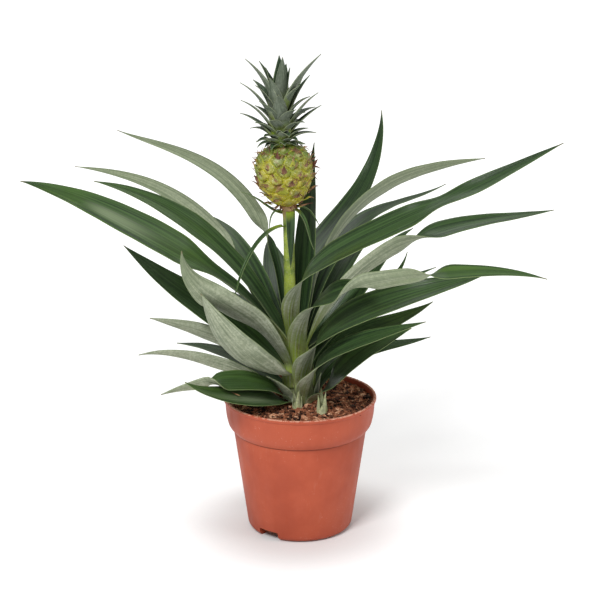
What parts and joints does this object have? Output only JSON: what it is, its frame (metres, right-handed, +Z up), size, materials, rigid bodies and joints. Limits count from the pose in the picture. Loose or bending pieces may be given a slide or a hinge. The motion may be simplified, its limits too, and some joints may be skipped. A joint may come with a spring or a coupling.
{
  "type": "potted pineapple plant",
  "caption": "Young pineapple plant with long arching leaves and a small crowned fruit on a stalk, growing in a round tapered pot of potting soil.",
  "frame": {"origin": "centre of the pot's flat underside, where it rests", "axes": "+Z up along the pot's axis, +X towards the plant's right-hand leaves as seen from its front, +Y towards its back"},
  "size_m": [0.4003, 0.3461, 0.3751],
  "materials": {
    "pot_plastic": "matte",
    "potting_soil": "matte",
    "leaf_blade": "satin",
    "stem_skin": "satin",
    "fruit_skin": "satin",
    "crown_leaf": "satin",
    "bract_leaf": "satin",
    "shoot_skin": "satin"
  },
  "bodies": {
    "root": {"crown": "crown_leaf", "fruit": "fruit_skin", "leaf_01": "leaf_blade", "leaf_02": "leaf_blade", "leaf_03": "leaf_blade", "leaf_04": "leaf_blade", "leaf_05": "leaf_blade", "leaf_06": "leaf_blade", "leaf_07": "leaf_blade", "leaf_08": "leaf_blade", "leaf_09": "leaf_blade", "leaf_10": "leaf_blade", "leaf_11": "leaf_blade", "leaf_12": "leaf_blade", "leaf_13": "leaf_blade", "leaf_14": "leaf_blade", "leaf_15": "leaf_blade", "leaf_16": "leaf_blade", "leaf_17": "leaf_blade", "leaf_18": "leaf_blade", "leaf_19": "leaf_blade", "leaf_20": "leaf_blade", "leaf_21": "leaf_blade", "leaf_22": "leaf_blade", "leaf_23": "leaf_blade", "leaf_24": "leaf_blade", "leaf_25": "leaf_blade", "leaf_26": "leaf_blade", "leaf_27": "leaf_blade", "leaf_28": "leaf_blade", "leaf_29": "leaf_blade", "leaf_30": "leaf_blade", "leaf_31": "leaf_blade", "leaf_32": "leaf_blade", "leaf_33": "leaf_blade", "leaf_34": "leaf_blade", "leaf_35": "leaf_blade", "pot": "pot_plastic", "sheath_1": "leaf_blade", "sheath_2": "leaf_blade", "shoot_1": "shoot_skin", "shoot_2": "shoot_skin", "soil": "potting_soil", "stalk_bract_1": "bract_leaf", "stalk_bract_2": "bract_leaf", "stalk_bract_3": "bract_leaf", "stalk_bract_4": "bract_leaf", "stalk_bract_5": "bract_leaf", "stalk_bract_6": "bract_leaf", "stem": "stem_skin"}
  },
  "joints": []
}
